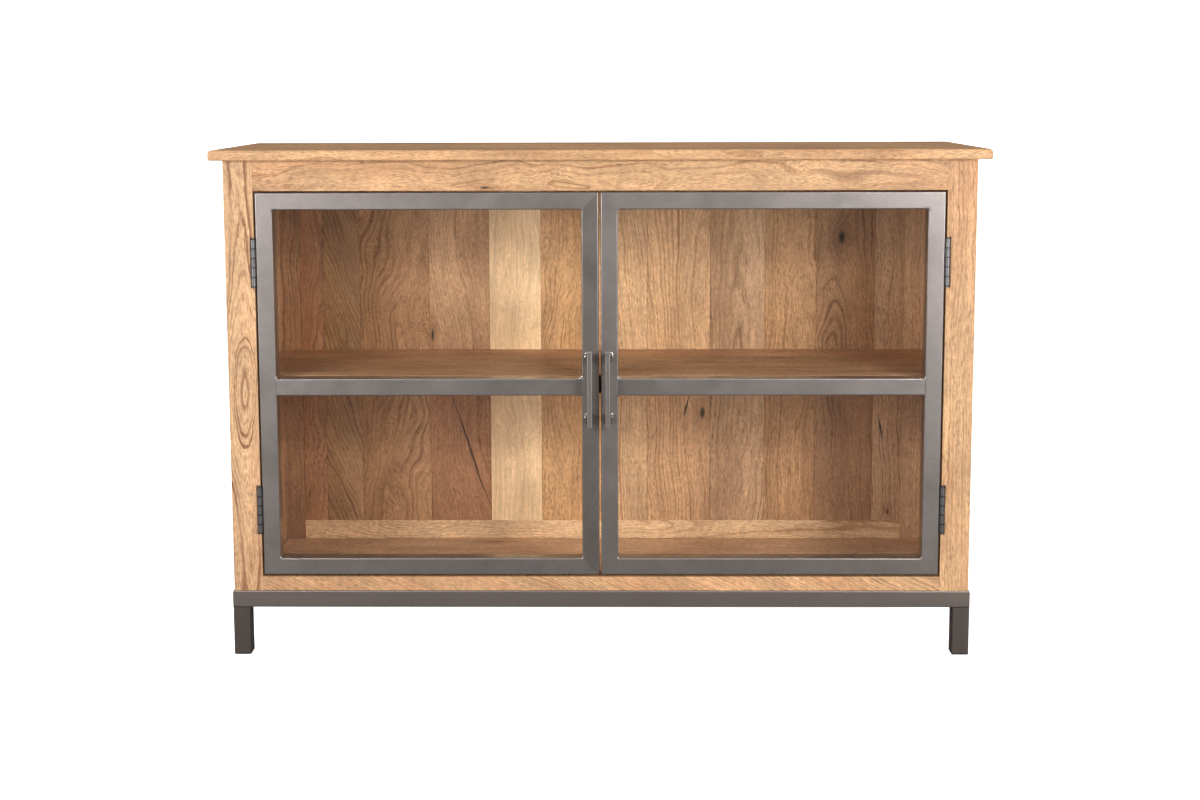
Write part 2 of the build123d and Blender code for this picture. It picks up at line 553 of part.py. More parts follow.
def hinge_screws(signs, leaf_name):
    """The screws of one kind of leaf on the given sides, as one group of separate screws."""
    plate_x, head_x, run, screw_length, knuckles = LEAVES[leaf_name]
    with BuildPart() as screws:
        for sign in signs:
            toward = sign * run
            shank_x = sign * head_x + toward * LEAF_THICKNESS
            for place, height, low, high in hinge_spans():
                for level in screw_levels(height):
                    screw_cone(sign * head_x, toward, level, Mode.ADD)
                    shank = Plane(origin=(shank_x, HINGE_SCREW_Y, level), z_dir=(toward, 0, 0))
                    with BuildSketch(shank):
                        Circle(SCREW_SHANK_RADIUS)
                    extrude(amount=screw_length)
    return screws


keep(hinge_screws(SIDES.values(), "frame"), "hinge_frame_screws")
for side, sign in SIDES.items():
    keep(hinge_screws([sign], "door"), f"{side}_hinge_door_screws")

with BuildPart() as hinge_pins:
    for sign in SIDES.values():
        for place, height, low, high in hinge_spans():
            with BuildSketch(Plane(origin=(sign * HINGE_X, HINGE_Y, low))):
                Circle(HINGE_PIN_RADIUS)
            extrude(amount=HINGE_LENGTH)
            for head_low in (low - PIN_HEAD_THICKNESS, high):
                with BuildSketch(Plane(origin=(sign * HINGE_X, HINGE_Y, head_low))):
                    Circle(PIN_HEAD_RADIUS)
                extrude(amount=PIN_HEAD_THICKNESS)
keep(hinge_pins, "hinge_pins")
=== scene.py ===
"""Glazed sideboard: solid mango wood carcass on a welded steel base, with two steel and glass doors."""
import math

import bmesh
import bpy
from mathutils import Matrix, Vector


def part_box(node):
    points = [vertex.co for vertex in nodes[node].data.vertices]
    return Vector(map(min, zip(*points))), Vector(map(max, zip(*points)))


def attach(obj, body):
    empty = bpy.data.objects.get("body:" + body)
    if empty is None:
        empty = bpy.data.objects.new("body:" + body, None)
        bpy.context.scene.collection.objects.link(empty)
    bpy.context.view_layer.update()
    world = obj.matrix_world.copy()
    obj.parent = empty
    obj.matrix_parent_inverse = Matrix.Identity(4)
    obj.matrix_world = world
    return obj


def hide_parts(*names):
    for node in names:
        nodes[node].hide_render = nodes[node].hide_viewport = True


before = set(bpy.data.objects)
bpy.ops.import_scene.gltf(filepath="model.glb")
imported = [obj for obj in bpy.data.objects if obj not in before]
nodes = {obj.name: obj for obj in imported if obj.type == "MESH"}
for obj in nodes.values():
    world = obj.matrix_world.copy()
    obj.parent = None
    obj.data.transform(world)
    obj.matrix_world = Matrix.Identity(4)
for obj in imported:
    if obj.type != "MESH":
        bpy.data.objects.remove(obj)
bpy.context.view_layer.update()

# -------------------------------------------------- top slab
# The top is a slab of solid mango wood, glued up from long staves and planed to 18 mm. Its edges are
# rounded over by hand and it is finished with a thin satin lacquer.
MM = 0.001


def paint(red, green, blue):
    """A colour from its usual 0 to 255 values, as the linear colour that shaders take."""
    def linear(value):
        part = value / 255
        return part / 12.92 if part <= 0.04045 else ((part + 0.055) / 1.055) ** 2.4
    return (linear(red), linear(green), linear(blue), 1.0)


def node(tree, kind, inputs=None, **settings):
    """A new node with its settings made and its inputs either set or linked."""
    made = tree.nodes.new(kind)
    for key, value in settings.items():
        setattr(made, key, value)
    for key, value in (inputs or {}).items():
        if isinstance(value, bpy.types.NodeSocket):
            tree.links.new(value, made.inputs[key])
        else:
            made.inputs[key].default_value = value
    return made


def maths(tree, operation, *values, clamp=False):
    """The result of one step of arithmetic on sockets or numbers."""
    step = node(tree, "ShaderNodeMath", dict(enumerate(values)), operation=operation)
    step.use_clamp = clamp
    return step.outputs[0]


def vectors(tree, operation, first, second):
    """The result of one step of arithmetic on vectors."""
    return node(tree, "ShaderNodeVectorMath", {0: first, 1: second}, operation=operation).outputs[0]


def length_of(tree, vector):
    """How long a vector is."""
    return node(tree, "ShaderNodeVectorMath", {0: vector}, operation="LENGTH").outputs["Value"]


def remap(tree, value, low, high, to_low=0.0, to_high=1.0):
    """A value that rises smoothly from to_low to to_high between low and high."""
    inputs = {"Value": value, "From Min": low, "From Max": high, "To Min": to_low, "To Max": to_high}
    step = node(tree, "ShaderNodeMapRange", inputs, interpolation_type="SMOOTHSTEP")
    return step.outputs["Result"]


def blend_colours(tree, how_much, first, second, kind="MIX"):
    """Two colours mixed by a socket or a number."""
    inputs = {0: how_much, 6: first, 7: second}
    return node(tree, "ShaderNodeMix", inputs, data_type="RGBA", blend_type=kind).outputs[2]


def group_with(name, inputs, outputs, kind="ShaderNodeTree"):
    """An empty node group with named sockets, and its input and output nodes."""
    tree = bpy.data.node_groups.new(name, kind)
    for label, socket_kind, value in inputs:
        socket = tree.interface.new_socket(label, in_out="INPUT", socket_type=socket_kind)
        if value is not None:
            socket.default_value = value
    for label, socket_kind in outputs:
        tree.interface.new_socket(label, in_out="OUTPUT", socket_type=socket_kind)
    return tree, tree.nodes.new("NodeGroupInput").outputs, tree.nodes.new("NodeGroupOutput").inputs


NO_SIZE = 0.01 * MM
CHECK_WIDTH = 2.2 * MM
PITH_REACH = 40 * MM
# The tint that the painted shade below the shelf multiplies into the lower half of a back board.
FOOT_SHADE_TINT = (0.70, 0.56, 0.51, 1.0)
GLUE_BROWN = paint(70, 45, 28)


def make_mango_grain():
    """The node group for mango wood. Its vector is across, into and along the board, in metres."""
    tree, given, result = group_with("mango_grain", [
        ("Board Place", "NodeSocketVector", None),
        ("Seed", "NodeSocketFloat", 0.0),
        ("Slant", "NodeSocketFloat", 0.0),
        ("Curl", "NodeSocketFloat", 0.05),
        ("Pith Side", "NodeSocketFloat", 0.02),
        ("Pith Depth", "NodeSocketFloat", 0.03),
        ("Pith Lean", "NodeSocketFloat", 0.05),
        ("Ring Width", "NodeSocketFloat", 0.007),
        ("Ring Strength", "NodeSocketFloat", 0.7),
        ("Wander", "NodeSocketFloat", 0.10),
        ("Painted Foot Shade", "NodeSocketFloat", 0.0),
        ("Ripple", "NodeSocketFloat", 0.4),
        ("Patches", "NodeSocketFloat", 0.5),
        ("Pores", "NodeSocketFloat", 1.0),
        ("Stave Width", "NodeSocketFloat", 0.0),
        ("Knot Across", "NodeSocketFloat", 0.0),
        ("Knot Along", "NodeSocketFloat", 0.0),
        ("Knot Size", "NodeSocketFloat", 0.0),
        ("Knot Stretch", "NodeSocketFloat", 2.0),
        ("Check Across", "NodeSocketFloat", 0.0),
        ("Check Along", "NodeSocketFloat", 0.0),
        ("Check Slope", "NodeSocketFloat", 0.0),
        ("Check Length", "NodeSocketFloat", 0.0),
        ("Light Wood", "NodeSocketColor", None),
        ("Dark Wood", "NodeSocketColor", None),
        ("Patch Wood", "NodeSocketColor", None),
    ], [("Color", "NodeSocketColor"), ("Roughness", "NodeSocketFloat"), ("Height", "NodeSocketFloat")])

    def times(one, other):
        return maths(tree, "MULTIPLY", one, other)

    def over(one, other):
        return maths(tree, "DIVIDE", one, other)

    def plus(one, other):
        return maths(tree, "ADD", one, other)

    def minus(one, other):
        return maths(tree, "SUBTRACT", one, other)

    def times_plus(one, other, more):
        return maths(tree, "MULTIPLY_ADD", one, other, more)

    def noise(vector, scales, detail, roughness=0.5, distortion=0.0):
        """Noise in three scales: small along the board means drawn out along the grain."""
        inputs = {"Vector": vectors(tree, "MULTIPLY", vector, scales), "W": given["Seed"],
                  "Scale": 1.0, "Detail": detail, "Roughness": roughness, "Distortion": distortion}
        return node(tree, "ShaderNodeTexNoise", inputs, noise_dimensions="4D").outputs

    # Staves: each glued strip is its own piece of tree, with its own tone.
    place = node(tree, "ShaderNodeSeparateXYZ", {0: given["Board Place"]}).outputs
    staved = maths(tree, "GREATER_THAN", given["Stave Width"], MM)
    stave_width = maths(tree, "MAXIMUM", given["Stave Width"], MM)
    stave_turns = over(place["X"], stave_width)
    stave_number = times(maths(tree, "FLOOR", stave_turns), staved)
    stave_key = times_plus(stave_number, 7.31, given["Seed"])
    stave_draw = node(tree, "ShaderNodeTexWhiteNoise", {"W": stave_key}, noise_dimensions="1D").outputs
    stave_shift = vectors(tree, "MULTIPLY", stave_draw["Color"], (9.0, 9.0, 9.0))
    stave_middle = times(times(plus(stave_number, 0.5), stave_width), staved)

    # The fibres wander: the whole pattern is bent by a slow noise and slanted as the board was sawn.
    stave_place = vectors(tree, "ADD", given["Board Place"], stave_shift)
    slow = noise(stave_place, (7.0, 7.0, 4.2), 2.0)["Color"]
    swing = vectors(tree, "SUBTRACT", slow, (0.5, 0.5, 0.5))
    curl = node(tree, "ShaderNodeCombineXYZ", {"X": given["Curl"], "Y": given["Curl"]}).outputs[0]
    slant_shift = node(tree, "ShaderNodeCombineXYZ", {"X": times(place["Z"], given["Slant"])}).outputs[0]
    bent_place = vectors(tree, "ADD", given["Board Place"], vectors(tree, "MULTIPLY", swing, curl))
    bent_place = vectors(tree, "ADD", bent_place, slant_shift)
    fibre_place = vectors(tree, "ADD", bent_place, stave_shift)

    # A knot pushes the rings aside and darkens to a small core.
    bend = noise(fibre_place, (30.0, 30.0, 8.0), 3.0, 0.55)["Fac"]
    knot_x = minus(place["X"], given["Knot Across"])
    knot_z = over(minus(place["Z"], given["Knot Along"]), given["Knot Stretch"])
    knot_wobble = times(minus(bend, 0.5), 0.012)
    knot_place = node(tree, "ShaderNodeCombineXYZ", {"X": knot_x, "Y": knot_z, "Z": knot_wobble}).outputs[0]
    knot_far = length_of(tree, knot_place)
    knot_turns = over(knot_far, maths(tree, "MAXIMUM", given["Knot Size"], NO_SIZE))
    knot_swell = maths(tree, "EXPONENT", times(times(knot_turns, knot_turns), -0.12))
    knot_push = times(times(knot_swell, given["Knot Size"]), 3.0)
    knot_core = remap(tree, knot_turns, 0.35, 1.1, 1.0, 0.0)
    knot_halo = remap(tree, knot_turns, 1.0, 4.5, 1.0, 0.0)

    # A drying check is a thin dark split that tapers to both ends and wavers a little.
    check_z = minus(place["Z"], given["Check Along"])
    check_line = times_plus(check_z, given["Check Slope"], given["Check Across"])
    check_waver = times(minus(bend, 0.5), 0.02)
    check_far = maths(tree, "ABSOLUTE", plus(minus(place["X"], check_line), check_waver))
    half_check = maths(tree, "MAXIMUM", times(given["Check Length"], 0.5), NO_SIZE)
    check_run = maths(tree, "ABSOLUTE", over(check_z, half_check))
    check_width = maths(tree, "MAXIMUM", times(minus(1.0, check_run), CHECK_WIDTH), NO_SIZE)
    check_mask = remap(tree, over(check_far, check_width), 0.5, 1.3, 0.85, 0.0)
    check_mask = times(check_mask, maths(tree, "LESS_THAN", check_run, 1.0))

    # Growth rings about a leaning, wandering pith: they cut the face in arches and ovals.
    bent = node(tree, "ShaderNodeSeparateXYZ", {0: bent_place}).outputs
    wander = noise(fibre_place, (9.0, 9.0, 3.4), 2.0)["Fac"]
    curly = noise(fibre_place, (130.0, 130.0, 36.0), 2.0)["Fac"]
    side_draw = times(times(minus(stave_draw["Value"], 0.5), 0.1), staved)
    pith_side = plus(plus(given["Pith Side"], side_draw), stave_middle)
    from_side = minus(bent["X"], pith_side)
    from_depth = times_plus(place["Z"], given["Pith Lean"], given["Pith Depth"])
    from_depth = plus(bent["Y"], from_depth)
    from_depth = plus(from_depth, times(minus(wander, 0.5), given["Wander"]))
    from_depth = times(maths(tree, "TANH", over(from_depth, PITH_REACH)), PITH_REACH)
    from_pith = node(tree, "ShaderNodeCombineXYZ", {"X": from_side, "Y": from_depth}).outputs[0]
    radius = plus(length_of(tree, from_pith), knot_push)
    radius = times_plus(bend, 0.008, radius)
    radius = times_plus(curly, 0.0022, radius)
    years = times_plus(radius, 95.0, given["Seed"])
    good_years = node(tree, "ShaderNodeTexNoise", {"W": years, "Scale": 1.0, "Detail": 1.0},
                      noise_dimensions="1D").outputs["Fac"]
    radius = times_plus(good_years, 0.009, radius)
    turns = over(radius, given["Ring Width"])
    wave = maths(tree, "SINE", times(turns, 2 * math.pi))
    late_wood = maths(tree, "POWER", times_plus(wave, 0.5, 0.5), 3.0)
    fine_wave = maths(tree, "SINE", times(turns, 2 * math.pi * 3.3))
    late_wood = times_plus(times_plus(fine_wave, 0.5, 0.5), 0.3, late_wood)
    clearness = noise(fibre_place, (18.0, 18.0, 5.0), 2.0)["Fac"]
    late_wood = times(late_wood, remap(tree, good_years, 0.3, 0.7, 0.5, 1.3))
    ring_here = times(late_wood, remap(tree, clearness, 0.3, 0.62, 0.25, 1.0))

    # Fibres, flecks, short dark pores, cross-grain ripple and broad patches of another colour.
    fibre = noise(fibre_place, (330.0, 330.0, 16.0), 2.0, 0.6)["Fac"]
    streak = noise(fibre_place, (70.0, 70.0, 5.0), 2.0, 0.6)["Fac"]
    fleck = noise(fibre_place, (540.0, 540.0, 120.0), 2.0, 0.7)["Fac"]
    pore = noise(fibre_place, (700.0, 700.0, 90.0), 0.0)["Fac"]
    pore_mask = times(remap(tree, pore, 0.54, 0.66), remap(tree, streak, 0.35, 0.65, 0.35, 1.0))
    pore_mask = times(pore_mask, given["Pores"])
    ripple = noise(fibre_place, (45.0, 45.0, 105.0), 1.0, 0.5, 0.8)["Fac"]
    cloud = noise(fibre_place, (16.0, 16.0, 6.0), 3.0, 0.55)["Fac"]
    broad = noise(fibre_place, (11.0, 11.0, 2.2), 3.0, 0.55, 0.3)["Fac"]
    broad_mask = times(remap(tree, broad, 0.42, 0.64), given["Patches"])

    ring_shows = times(ring_here, given["Ring Strength"])
    grained = blend_colours(tree, ring_shows, given["Light Wood"], given["Dark Wood"])
    patched = blend_colours(tree, broad_mask, grained, given["Patch Wood"])
    haloed = blend_colours(tree, times(knot_halo, 0.5), patched, given["Dark Wood"])
    value = remap(tree, fibre, 0.25, 0.75, 0.88, 1.11)
    fleck_swing = times(remap(tree, fleck, 0.3, 0.7, -0.2, 0.17), given["Pores"])
    value = times(value, plus(fleck_swing, 1.0))
    value = times(value, remap(tree, streak, 0.3, 0.7, 0.91, 1.07))
    value = times(value, remap(tree, cloud, 0.3, 0.7, 0.86, 1.12))
    value = times(value, times_plus(times(minus(ripple, 0.5), given["Ripple"]), 0.7, 1.0))
    stave_tone = times(minus(stave_draw["Value"], 0.5), staved)
    value = times(value, times_plus(stave_tone, 0.24, 1.0))
    value = times(value, times_plus(pore_mask, -0.36, 1.0))
    value = times(value, times_plus(knot_core, -0.86, 1.0))
    value = times(value, minus(1.0, check_mask))
    grey = node(tree, "ShaderNodeCombineColor", {0: value, 1: value, 2: value}).outputs[0]
    toned = blend_colours(tree, 1.0, haloed, grey, "MULTIPLY")

    # Painted shade, with some redder wood: the lower half of a board is darkened and reddened, for the
    # shade that falls below the shelf and the redder foot of some boards.
    foot = times(remap(tree, place["Z"], 0.04, -0.06), given["Painted Foot Shade"])
    toned = blend_colours(tree, foot, toned, FOOT_SHADE_TINT, "MULTIPLY")

    # A hairline of glue shows between the staves.
    edge_gap = times(maths(tree, "PINGPONG", stave_turns, 0.5), stave_width)
    glue_line = times(remap(tree, edge_gap, 0.2 * MM, 0.7 * MM, 0.5, 0.0), staved)
    glued = blend_colours(tree, glue_line, toned, GLUE_BROWN)
    tree.links.new(glued, result["Color"])

    gloss = times_plus(pore_mask, 0.2, remap(tree, broad, 0.3, 0.7, 0.44, 0.54))
    tree.links.new(gloss, result["Roughness"])
    relief = times_plus(ring_here, 0.25, times(fibre, 0.35))
    relief = times_plus(pore_mask, -0.8, relief)
    relief = times_plus(glue_line, -1.2, relief)
    relief = times_plus(check_mask, -1.5, relief)
    relief = times_plus(knot_core, -0.5, relief)
    tree.links.new(relief, result["Height"])
    return tree


mango_grain = make_mango_grain()
# The tones of a wood are its light early wood, its dark late wood and its broad patches.
HONEY = ((179, 141, 102), (120, 78, 46), (166, 120, 84))


def new_material(name):
    """A named material with an empty node tree, its Principled shader and its output."""
    material = bpy.data.materials.new(name)
    material.use_nodes = True
    tree = material.node_tree
    tree.nodes.clear()
    shader = tree.nodes.new("ShaderNodeBsdfPrincipled")
    output = tree.nodes.new("ShaderNodeOutputMaterial")
    tree.links.new(shader.outputs[0], output.inputs["Surface"])
    return material, tree, shader


def board_place(tree, axes, centre):
    """Where a point lies across, into and along a board, from the board's own centre."""
    spot = node(tree, "ShaderNodeTexCoord").outputs["Object"]
    parts = node(tree, "ShaderNodeSeparateXYZ", {0: spot}).outputs
    turned = node(tree, "ShaderNodeCombineXYZ", {i: parts[axis] for i, axis in enumerate(axes)}).outputs[0]
    middle = [centre["XYZ".index(axis)] for axis in axes]
    return vectors(tree, "SUBTRACT", turned, middle)


def mango(name, axes, centre, tones=HONEY, **grain):
    """A satin lacquered mango wood for one board. Axes name its across, into and along directions."""
    material, tree, shader = new_material(name)
    wood = node(tree, "ShaderNodeGroup", node_tree=mango_grain)
    tree.links.new(board_place(tree, axes, centre), wood.inputs["Board Place"])
    for label, tone in zip(("Light Wood", "Dark Wood", "Patch Wood"), tones):
        wood.inputs[label].default_value = paint(*tone)
    for key, value in grain.items():
        wood.inputs[key.replace("_", " ").title()].default_value = value
    relief = node(tree, "ShaderNodeBump", {"Height": wood.outputs["Height"], "Strength": 0.5,
                                           "Distance": 0.4 * MM})
    tree.links.new(wood.outputs["Color"], shader.inputs["Base Color"])
    tree.links.new(wood.outputs["Roughness"], shader.inputs["Roughness"])
    tree.links.new(relief.outputs[0], shader.inputs["Normal"])
    shader.inputs["Specular IOR Level"].default_value = 0.35
    return material


def finish_node(name, material):
    """Give a carried-over piece its material."""
    slots = nodes[name].data.materials
    slots.clear()
    slots.append(material)


def middle_of(name):
    """The centre of a carried-over piece."""
    low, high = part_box(name)
    return (low + high) / 2


TOP_TONES = ((184, 144, 103), (127, 84, 51), (168, 122, 85))
finish_node("top_panel", mango(
    "mango_top", "YZX", middle_of("top_panel"), TOP_TONES, seed=3.1, pith_depth=0.05,
    ring_width=0.008, ring_strength=0.5, ripple=0.5, stave_width=0.098))

# -------------------------------------------------- face frame
# Two upright stiles and two cross rails of solid mango make the face that the doors close into.
# They are butt jointed and glued, planed flush, and each shows the figure of its own plank.
PALE_HONEY = ((185, 148, 110), *HONEY[1:])
FACE_BOARDS = {
    "left_front_stile": ("XYZ", dict(
        tones=PALE_HONEY, seed=11.0, curl=0.03, pith_side=0.004, pith_depth=0.018, pith_lean=0.24,
        ring_width=0.0052, ring_strength=1.0, ripple=0.5, patches=0.4, wander=0.035)),
    "right_front_stile": ("XYZ", dict(
        seed=23.5, curl=0.03, pith_side=0.045, pith_depth=0.02, pith_lean=0.02, ring_width=0.0075,
        ring_strength=0.6, ripple=0.5, patches=0.6)),
    "front_top_rail": ("ZYX", dict(
        seed=41.2, curl=0.09, pith_side=-0.01, pith_lean=0.07, ring_width=0.012, ring_strength=0.6,
        ripple=0.5, knot_across=-0.021, knot_along=-0.198, knot_size=0.0026, knot_stretch=4.0)),
    "front_bottom_rail": ("ZYX", dict(
        seed=57.9, slant=0.5, pith_side=0.05, pith_depth=0.02, pith_lean=0.12, ring_width=0.006,
        ripple=0.6, patches=0.6)),
}
for name, (axes, grain) in FACE_BOARDS.items():
    finish_node(name, mango("mango_" + name, axes, middle_of(name), **grain))

# -------------------------------------------------- sides and back frame
# Each side is a wide panel of edge-glued boards set between the front stile and a back post. Posts and
# back rails are plain mango, each given its own tone: the left post darker, the right post lighter. The
# bottom rail is the palest.
SIDE_TONES = ((196, 148, 108), (140, 94, 62), (174, 122, 86))
BOTTOM_RAIL_TONES = ((224, 180, 138), (162, 112, 74), (202, 152, 110))
POST_TONES = {
    "left": ((168, 120, 84), (118, 75, 48), (148, 100, 68)),
    "right": ((200, 156, 120), (146, 104, 76), (180, 132, 98)),
}
for number, side in enumerate(("left", "right")):
    finish_node(f"{side}_side_panel", mango(
        f"mango_{side}_side", "YXZ", middle_of(f"{side}_side_panel"), SIDE_TONES,
        seed=61.0 + 9 * number, pith_side=0.03, pith_lean=0.06, ring_width=0.008, ring_strength=0.5,
        ripple=0.35, stave_width=0.104))
    finish_node(f"{side}_back_post", mango(
        f"mango_{side}_back_post", "XYZ", middle_of(f"{side}_back_post"), POST_TONES[side],
        seed=71.0 + 9 * number, pith_side=0.08, pith_lean=0.04))
finish_node("back_top_rail", mango(
    "mango_back_top_rail", "ZYX", middle_of("back_top_rail"), SIDE_TONES, seed=88.0))
finish_node("back_bottom_rail", mango(
    "mango_back_bottom_rail", "ZYX", middle_of("back_bottom_rail"), BOTTOM_RAIL_TONES, seed=93.0,
    pith_side=0.01, pith_lean=0.1, ring_width=0.006, ring_strength=0.6, ripple=0.5))

# -------------------------------------------------- back boards
# The back is twelve upright mango planks of random width between the posts. They are picked from
# mixed stock, so cream sapwood stands beside dark heartwood, and their long edges are lightly eased.
WARP_SEED = 5
MADE_GEOMETRY = [("Geometry", "NodeSocketGeometry")]


def make_sawn_board():
    """A board drawn along Z: a rounded section carried up a line, with a trace of unevenness."""
    tree, given, result = group_with("sawn_board", [
        ("Width", "NodeSocketFloat", 0.1),
        ("Thickness", "NodeSocketFloat", 0.012),
        ("Base", "NodeSocketVector", None),
        ("Length", "NodeSocketFloat", 0.7),
        ("Eased Edge", "NodeSocketFloat", 0.0012),
        ("Unevenness", "NodeSocketFloat", 0.0003),
        ("Seed", "NodeSocketFloat", 0.0),
        ("Material", "NodeSocketMaterial", None),
    ], MADE_GEOMETRY, "GeometryNodeTree")
    section = node(tree, "GeometryNodeCurvePrimitiveQuadrilateral",
                   {"Width": given["Width"], "Height": given["Thickness"]}).outputs[0]
    eased = node(tree, "GeometryNodeFilletCurve", {"Curve": section, "Radius": given["Eased Edge"],
                                                  "Count": 3}, mode="POLY").outputs[0]
    rise = node(tree, "ShaderNodeCombineXYZ", {"Z": given["Length"]}).outputs[0]
    line = node(tree, "GeometryNodeCurvePrimitiveLine", {"Start": (0, 0, 0), "End": rise}).outputs[0]
    steps = node(tree, "GeometryNodeResampleCurve", {"Curve": line, "Count": 24}).outputs[0]
    bar = node(tree, "GeometryNodeCurveToMesh", {"Curve": steps, "Profile Curve": eased,
                                                 "Fill Caps": True}).outputs[0]
    spot = node(tree, "GeometryNodeInputPosition").outputs[0]
    wobble = node(tree, "ShaderNodeTexNoise", {"Vector": spot, "W": given["Seed"], "Scale": 4.0,
                                               "Detail": 1.0}, noise_dimensions="4D").outputs["Color"]
    across = node(tree, "ShaderNodeCombineXYZ", {"X": given["Unevenness"],
                                                 "Y": given["Unevenness"]}).outputs[0]
    shift = vectors(tree, "MULTIPLY", vectors(tree, "SUBTRACT", wobble, (0.5, 0.5, 0.5)), across)
    offset = vectors(tree, "ADD", shift, given["Base"])
    placed = node(tree, "GeometryNodeSetPosition", {"Geometry": bar, "Offset": offset}).outputs[0]
    real = node(tree, "GeometryNodeRealizeInstances", {"Geometry": placed}).outputs[0]
    made = node(tree, "GeometryNodeSetMaterial",
                {"Geometry": real, "Material": given["Material"]}).outputs[0]
    tree.links.new(made, result["Geometry"])
    return tree


def new_object(name, data):
    """An object in the scene, at the origin."""
    made = bpy.data.objects.new(name, data)
    bpy.context.scene.collection.objects.link(made)
    return made


def made_by(tree, name, start_mesh=None, **values):
    """A piece made by a geometry node tree and turned into a plain mesh at the origin."""
    piece = new_object(name, start_mesh or bpy.data.meshes.new(name))
    modifier = piece.modifiers.new("making", "NODES")
    modifier.node_group = tree
    identifiers = {item.name: item.identifier for item in tree.interface.items_tree
                   if item.item_type == "SOCKET" and item.in_out == "INPUT"}
    for key, value in values.items():
        modifier[identifiers[key.replace("_", " ").title()]] = value
    bpy.context.view_layer.update()
    graph = bpy.context.evaluated_depsgraph_get()
    plain = bpy.data.meshes.new_from_object(piece.evaluated_get(graph))
    piece.modifiers.remove(modifier)
    piece.data = plain
    plain.name = name
    return piece


def turn_outward(piece):
    """Weld coincident points and make every face point outwards."""
    work = bmesh.new()
    work.from_mesh(piece.data)
    bmesh.ops.remove_doubles(work, verts=work.verts, dist=1e-6)
    bmesh.ops.recalc_face_normals(work, faces=work.faces)
    work.to_mesh(piece.data)
    work.free()


sawn_board = make_sawn_board()
# Each board: its width in mm, its light, dark and patch tones, and its grain.
BACK_BOARDS = [
    (45, ((180, 124, 86), (124, 78, 50), (158, 104, 70)),
     dict(curl=0.09, pith_side=0.03, pith_lean=0.08)),
    (72, ((176, 130, 90), (112, 74, 48), (150, 104, 70)),
     dict(slant=0.35, curl=0.09, pith_side=0.01, pith_depth=0.015, pith_lean=0.12, ring_width=0.009)),
    (135, ((184, 134, 94), (134, 90, 58), (162, 116, 80)),
     dict(slant=-0.1, curl=0.16, pith_side=0.03, pith_lean=0.10, ring_width=0.011)),
    (118, ((200, 152, 112), (140, 94, 62), (180, 130, 96)),
     dict(painted_foot_shade=1.0, slant=0.12, curl=0.07, pith_side=0.07, pith_lean=0.04, ring_strength=0.5,
          knot_across=-0.053, knot_along=0.022, knot_size=0.004, knot_stretch=4.0,
          check_across=0.022, check_along=-0.217, check_slope=-0.316, check_length=0.31)),
    (100.5, ((236, 196, 154), (208, 162, 118), (224, 180, 136)),
     dict(curl=0.10, pith_side=0.09, pith_depth=0.05, pith_lean=0.03, ring_width=0.012,
          ring_strength=0.5, ripple=0.2, pores=0.45)),
    (123, ((202, 152, 106), (154, 104, 62), (186, 135, 87)),
     dict(curl=0.10, pith_side=0.05, pith_lean=0.10, ring_width=0.006)),
    (84, ((208, 163, 122), (156, 110, 75), (194, 148, 108)),
     dict(slant=0.06, curl=0.03, pith_side=0.08, pith_lean=0.02, ring_width=0.006)),
    (123, ((210, 163, 120), (158, 110, 73), (192, 144, 104)),
     dict(painted_foot_shade=0.35, slant=0.05, pith_side=0.06, pith_depth=0.02, ring_width=0.008,
          knot_across=0.047, knot_along=-0.133, knot_size=0.0065, knot_stretch=2.2,
          check_across=0.018, check_along=-0.120, check_slope=0.2, check_length=0.05)),
    (107, ((198, 154, 116), (142, 102, 70), (180, 134, 98)),
     dict(curl=0.07, pith_side=0.005, pith_depth=0.02, pith_lean=0.13, ring_width=0.010,
          ring_strength=0.75)),
    (100, ((198, 150, 107), (150, 104, 67), (180, 131, 90)),
     dict(painted_foot_shade=0.4, curl=0.06, pith_depth=0.02, pith_lean=0.10, ring_width=0.008)),
    (113, ((176, 130, 94), (118, 80, 54), (156, 110, 78)),
     dict(curl=0.10, pith_side=-0.02, pith_depth=0.014, pith_lean=0.10, ring_width=0.008,
          ring_strength=0.75, knot_across=-0.009, knot_along=0.213, knot_size=0.008)),
    (57.5, ((196, 152, 116), (138, 98, 70), (174, 130, 96)),
     dict(curl=0.08, pith_side=0.04, pith_lean=0.06, ring_width=0.008, knot_across=0.003,
          knot_along=-0.332, knot_size=0.003, check_across=-0.012, check_along=-0.16,
          check_slope=-0.1, check_length=0.07)),
]
boards_low, boards_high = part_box("back_boards")
BOARD_GAP = 0.1 * MM
board_left = boards_low.x
for number, (width, tones, special_grain) in enumerate(BACK_BOARDS):
    name = f"back_board_{number + 1:02d}"
    middle = (boards_low + boards_high) / 2
    middle.x = board_left + width * MM / 2
    # Every board gets a little painted shade at its foot, below the shelf; some boards get more.
    grain = dict(seed=101.0 + 4.7 * number, patches=0.6, painted_foot_shade=0.15) | special_grain
    board = made_by(
        sawn_board, name, width=width * MM - BOARD_GAP,
        thickness=boards_high.y - boards_low.y - 2 * BOARD_GAP,
        base=(middle.x, middle.y, boards_low.z), length=boards_high.z - boards_low.z,
        seed=float(WARP_SEED + number), material=mango("mango_" + name, "XYZ", middle, tones, **grain))
    turn_outward(board)
    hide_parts("back_boards")
    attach(board, "cabinet")
    board_left += width * MM

